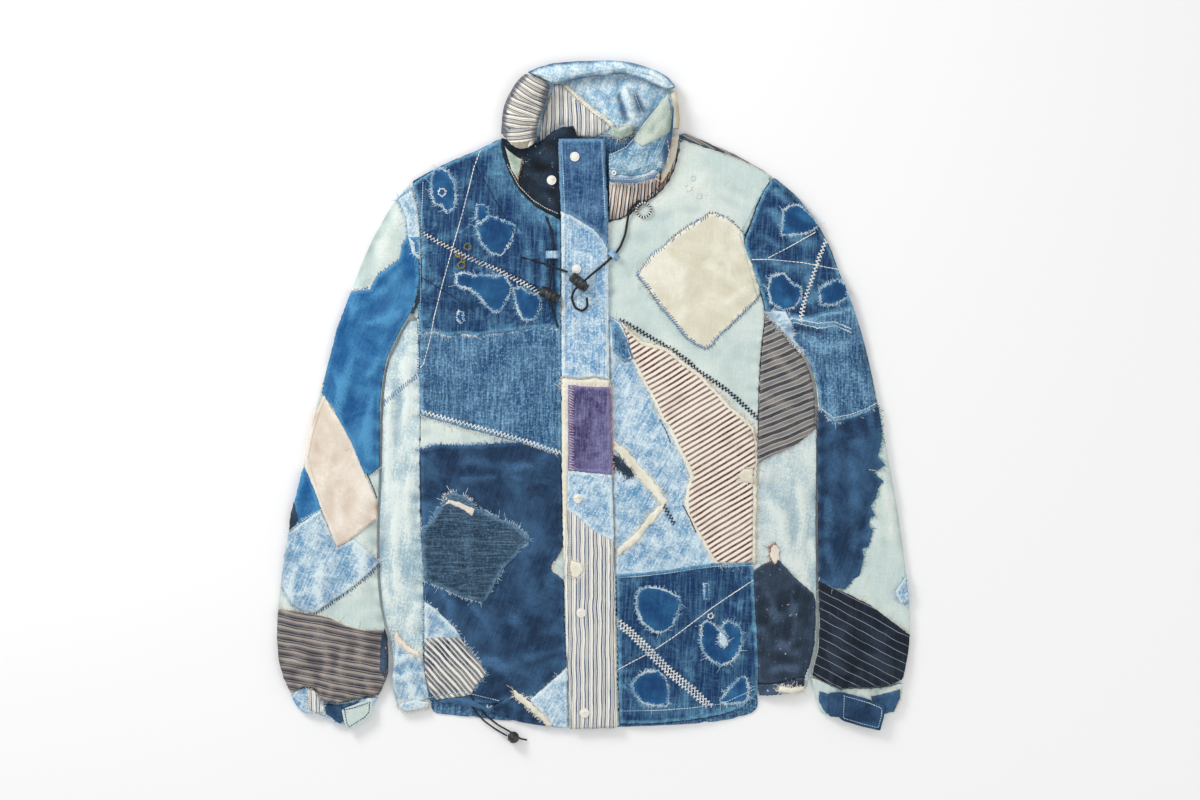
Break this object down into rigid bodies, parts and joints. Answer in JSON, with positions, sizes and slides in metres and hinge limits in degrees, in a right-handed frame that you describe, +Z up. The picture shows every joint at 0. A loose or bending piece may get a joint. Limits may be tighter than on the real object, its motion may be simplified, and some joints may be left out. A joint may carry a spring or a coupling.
{
  "type": "patchwork denim jacket laid flat",
  "caption": "Worn patchwork jacket laid flat on its back, with stand collar turned out, snap placket, drawcords and gathered cuffs.",
  "frame": {"origin": "middle of the laid-out jacket's footprint, on the surface it lies on", "axes": "+Y towards the collar, +X towards the wearer's left sleeve, +Z up from the surface"},
  "size_m": [0.7944, 0.8547, 0.0282],
  "materials": {
    "indigo_denim": "worn matt",
    "mid_denim": "matt twill",
    "light_denim": "washed matt twill",
    "pale_green_cloth": "faded matt",
    "cream_cloth": "faded matt",
    "navy_cloth": "matt",
    "black_cloth": "matt",
    "striped_cloth": "matt, woven stripes",
    "grey_striped_cloth": "matt, woven stripes",
    "purple_cloth": "matt",
    "blue_tape": "woven tape",
    "black_cord": "braided",
    "black_plastic": "matt",
    "snap_enamel": "satin off-white"
  },
  "bodies": {
    "root": {"back": "mid_denim", "yoke_left": "grey_striped_cloth", "front_right": "indigo_denim", "front_left": "pale_green_cloth", "side_right": "pale_green_cloth", "side_left": "grey_striped_cloth", "sleeve_right": "indigo_denim", "sleeve_left": "navy_cloth", "cuff_right": "light_denim", "cuff_left": "pale_green_cloth", "cuff_tab_right": "pale_green_cloth", "cuff_tab_left": "navy_cloth", "collar_back": "light_denim", "collar_band": "light_denim", "collar_right_stand": "black_cloth", "collar_right_roll": "striped_cloth", "collar_left_stand": "striped_cloth", "collar_left_side": "cream_cloth", "collar_left_roll": "light_denim", "placket": "mid_denim", "patch_mid_denim": "mid_denim", "patch_navy": "navy_cloth", "patch_dark_denim": "mid_denim", "patch_ticking": "striped_cloth", "patch_cream": "cream_cloth", "patch_brown_stripe": "striped_cloth", "patch_light_denim": "light_denim", "patch_indigo": "indigo_denim", "patch_purple": "purple_cloth", "patch_peach": "cream_cloth", "patch_washed_denim": "light_denim", "snap_1": "snap_enamel", "snap_2": "snap_enamel", "snap_3": "snap_enamel", "snap_4": "snap_enamel", "snap_5": "snap_enamel", "snap_stand": "snap_enamel", "flap_eyelet": "snap_enamel", "neck_ring": "cream_cloth", "cord_loop_right": "blue_tape", "cord_loop_left": "blue_tape", "cord_lock_left": "black_plastic", "cord_lock_right": "black_plastic", "hem_cord_lock": "black_plastic", "neck_cord_left": "black_cord", "neck_cord_left_loop": "black_cord", "neck_cord_left_tail": "black_cord", "neck_cord_right": "black_cord", "neck_cord_right_tail": "black_cord", "hem_cord_upper": "black_cord", "hem_cord_lower": "black_cord", "hem_cord_tail": "black_cord"}
  },
  "joints": []
}
